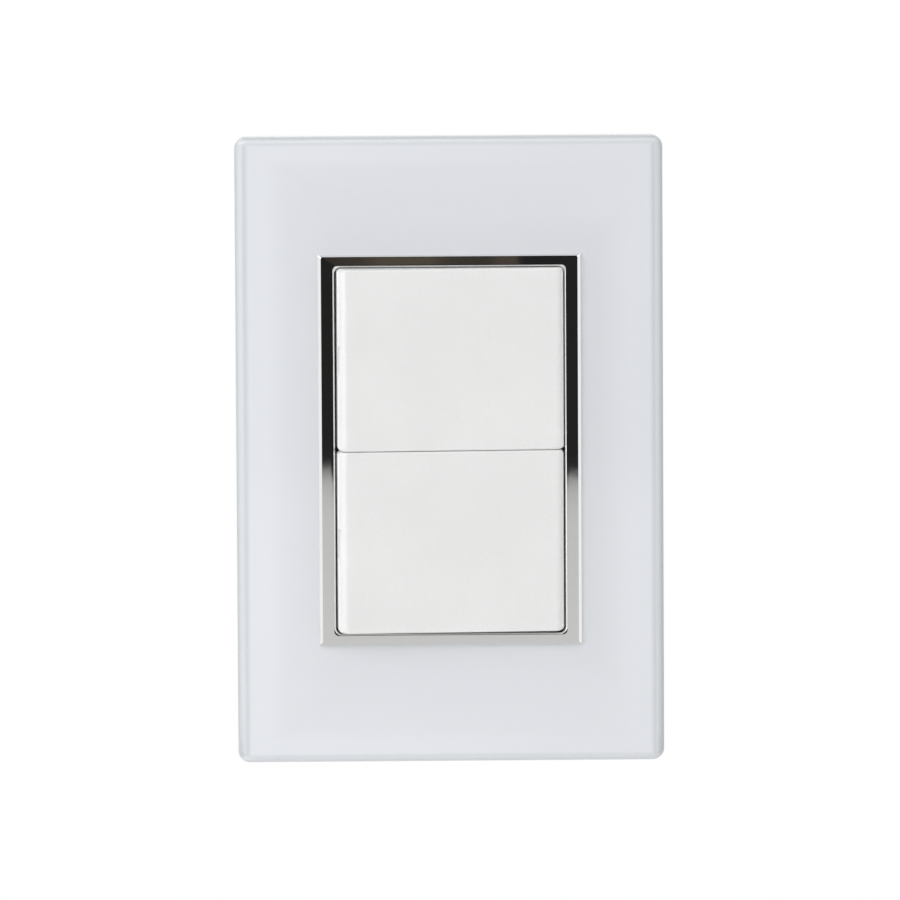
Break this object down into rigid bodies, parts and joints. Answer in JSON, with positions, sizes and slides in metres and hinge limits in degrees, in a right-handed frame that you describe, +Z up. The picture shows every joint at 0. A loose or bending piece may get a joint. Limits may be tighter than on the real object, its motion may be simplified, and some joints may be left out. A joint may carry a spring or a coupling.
{
  "type": "double light switch",
  "caption": "Wall light switch for a rectangular wall box: white glass plate, chrome-edged window and side-tilting rocker keys over snap-in switch modules.",
  "frame": {"origin": "on the wall surface, midway between the two box screws", "axes": "+X to the user's right, +Z up, +Y into the wall; the front faces -Y"},
  "size_m": [0.0802, 0.0326, 0.118],
  "materials": {
    "plate_glass": "polished, white on its back",
    "carrier_plastic": "fine moulded texture",
    "bezel_chrome": "bright plated",
    "frame_plastic": "fine moulded texture",
    "case_plastic": "fine moulded texture",
    "base_plastic": "fine moulded texture",
    "cap_plastic": "satin white",
    "actuator_plastic": "smooth",
    "plunger_plastic": "smooth natural nylon",
    "spring_steel": "drawn wire",
    "blade_copper": "stamped copper",
    "contact_silver": "silver",
    "terminal_brass": "machined brass",
    "screw_steel": "zinc plated"
  },
  "bodies": {
    "root": {"glass_plate": "plate_glass", "plate_carrier": "carrier_plastic", "chrome_bezel": "bezel_chrome", "mounting_frame": "frame_plastic", "upper_case": "case_plastic", "upper_base": "base_plastic", "upper_fixed_contact": "contact_silver", "upper_common_terminal": "terminal_brass", "upper_line_terminal": "terminal_brass", "upper_common_screw": "screw_steel", "upper_line_screw": "screw_steel", "lower_case": "case_plastic", "lower_base": "base_plastic", "lower_fixed_contact": "contact_silver", "lower_common_terminal": "terminal_brass", "lower_line_terminal": "terminal_brass", "lower_common_screw": "screw_steel", "lower_line_screw": "screw_steel"},
    "upper_rocker": {"upper_rocker_cap": "cap_plastic", "upper_actuator": "actuator_plastic", "upper_plunger_spring": "spring_steel"},
    "upper_plunger": {"upper_plunger": "plunger_plastic"},
    "upper_contact": {"upper_contact_blade": "blade_copper", "upper_moving_contact": "contact_silver"},
    "lower_rocker": {"lower_rocker_cap": "cap_plastic", "lower_actuator": "actuator_plastic", "lower_plunger_spring": "spring_steel"},
    "lower_plunger": {"lower_plunger": "plunger_plastic"},
    "lower_contact": {"lower_contact_blade": "blade_copper", "lower_moving_contact": "contact_silver"}
  },
  "joints": [
    {"name": "upper_rocker_hinge", "type": "hinge", "parent": "root", "child": "upper_rocker", "pos_m": [0, -0.0078, 0.01715], "axis": [0, 0, 1], "range_deg": [-7, 0]},
    {"name": "upper_contact_rock", "type": "hinge", "parent": "root", "child": "upper_contact", "pos_m": [0, 0.011, 0.01715], "axis": [0, 0, 1], "range_deg": [0, 16]},
    {"name": "upper_plunger_slide", "type": "slide", "parent": "upper_rocker", "child": "upper_plunger", "axis": [0.061, -0.9981, 0], "range_m": [0, 0.001], "stiffness_N_per_m": 500, "deforming": ["upper_plunger_spring"]},
    {"name": "lower_rocker_hinge", "type": "hinge", "parent": "root", "child": "lower_rocker", "pos_m": [0, -0.0078, -0.01715], "axis": [0, 0, 1], "range_deg": [-7, 0]},
    {"name": "lower_contact_rock", "type": "hinge", "parent": "root", "child": "lower_contact", "pos_m": [0, 0.011, -0.01715], "axis": [0, 0, 1], "range_deg": [0, 16]},
    {"name": "lower_plunger_slide", "type": "slide", "parent": "lower_rocker", "child": "lower_plunger", "axis": [0.061, -0.9981, 0], "range_m": [0, 0.001], "stiffness_N_per_m": 500, "deforming": ["lower_plunger_spring"]}
  ],
  "couplings": [
    {"joint": "upper_contact_rock", "follows": "upper_rocker_hinge", "ratio": -2.2857},
    {"joint": "lower_contact_rock", "follows": "lower_rocker_hinge", "ratio": -2.2857}
  ]
}
